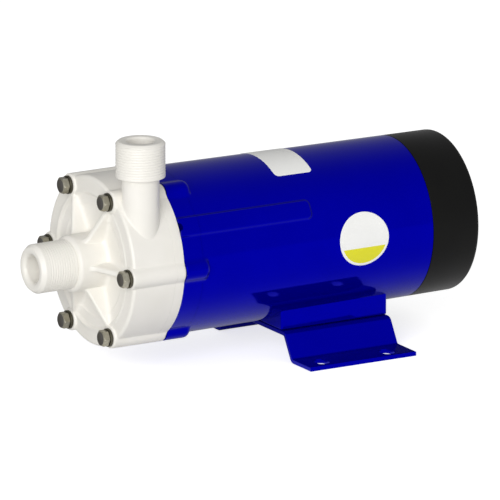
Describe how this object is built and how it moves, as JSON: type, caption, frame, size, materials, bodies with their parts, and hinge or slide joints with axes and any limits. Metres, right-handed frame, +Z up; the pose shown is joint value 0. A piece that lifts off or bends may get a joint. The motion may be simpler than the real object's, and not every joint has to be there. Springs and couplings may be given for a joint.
{
  "type": "magnetic drive pump",
  "caption": "Magnetic drive pump: white plastic head with axial inlet and upright outlet nozzles, blue motor housing, black rear cap and bent sheet foot.",
  "frame": {"origin": "on the floor the foot stands on, under the shaft axis, half way along the pump", "axes": "+X along the shaft from the inlet nozzle to the rear cap, +Z up, and the outlet nozzle stands on the -Y side"},
  "size_m": [0.2492, 0.1154, 0.1315],
  "materials": {
    "white_plastic": "moulded, slightly satin",
    "black_plastic": "satin",
    "blue_paint": "gloss enamel",
    "screw_steel": "satin",
    "ceramic": "ground",
    "carbon": "matt",
    "rubber": "matt",
    "magnet": "matt",
    "steel": "turned",
    "laminations": "dull",
    "copper": "enamelled wire",
    "aluminium": "as cast"
  },
  "bodies": {
    "pump": {"front_casing": "white_plastic", "rear_casing": "white_plastic", "terminal_block": "white_plastic", "rear_cap": "black_plastic", "cable_gland": "black_plastic", "gland_nut": "black_plastic", "motor_housing": "blue_paint", "foot_bracket": "blue_paint", "cover_screw_1": "screw_steel", "cover_screw_2": "screw_steel", "cover_screw_3": "screw_steel", "cover_screw_4": "screw_steel", "cover_screw_5": "screw_steel", "cover_screw_6": "screw_steel", "cover_washer_1": "screw_steel", "cover_washer_2": "screw_steel", "cover_washer_3": "screw_steel", "cover_washer_4": "screw_steel", "cover_washer_5": "screw_steel", "cover_washer_6": "screw_steel", "cap_screw_1": "screw_steel", "cap_screw_2": "screw_steel", "cap_screw_3": "screw_steel", "foot_screw_1": "screw_steel", "foot_screw_2": "screw_steel", "foot_screw_3": "screw_steel", "foot_screw_4": "screw_steel", "spindle": "ceramic", "front_thrust_ring": "ceramic", "rear_thrust_ring": "ceramic", "mouth_ring": "carbon", "casing_o_ring": "rubber", "gland_seal": "rubber", "front_bearing_outer": "steel", "rear_bearing_outer": "steel", "stator_core": "laminations", "stator_winding": "copper", "front_end_shield": "aluminium", "rear_end_shield": "aluminium"},
    "rotor": {"motor_shaft": "steel", "rotor_core": "laminations", "drive_cup": "steel", "cup_set_screw": "screw_steel", "drive_magnet": "magnet", "cooling_fan": "black_plastic", "front_bearing_inner": "steel", "rear_bearing_inner": "steel"},
    "impeller": {"impeller": "white_plastic", "inner_magnet": "magnet", "magnet_cover": "white_plastic", "impeller_bush": "carbon"},
    "front_ball_set": {"front_bearing_balls": "steel"},
    "rear_ball_set": {"rear_bearing_balls": "steel"}
  },
  "joints": [
    {"name": "rotor_spin", "type": "hinge", "parent": "pump", "child": "rotor", "pos_m": [0, 0, 0.0608], "axis": [1, 0, 0], "continuous": true},
    {"name": "impeller_spin", "type": "hinge", "parent": "pump", "child": "impeller", "pos_m": [-0.045, 0, 0.0608], "axis": [1, 0, 0], "continuous": true},
    {"name": "front_ball_spin", "type": "hinge", "parent": "pump", "child": "front_ball_set", "pos_m": [0.0064, 0, 0.0608], "axis": [1, 0, 0], "continuous": true},
    {"name": "rear_ball_spin", "type": "hinge", "parent": "pump", "child": "rear_ball_set", "pos_m": [0.0852, 0, 0.0608], "axis": [1, 0, 0], "continuous": true}
  ],
  "couplings": [
    {"joint": "impeller_spin", "follows": "rotor_spin", "ratio": 1},
    {"joint": "front_ball_spin", "follows": "rotor_spin", "ratio": 0.4},
    {"joint": "rear_ball_spin", "follows": "rotor_spin", "ratio": 0.4}
  ]
}
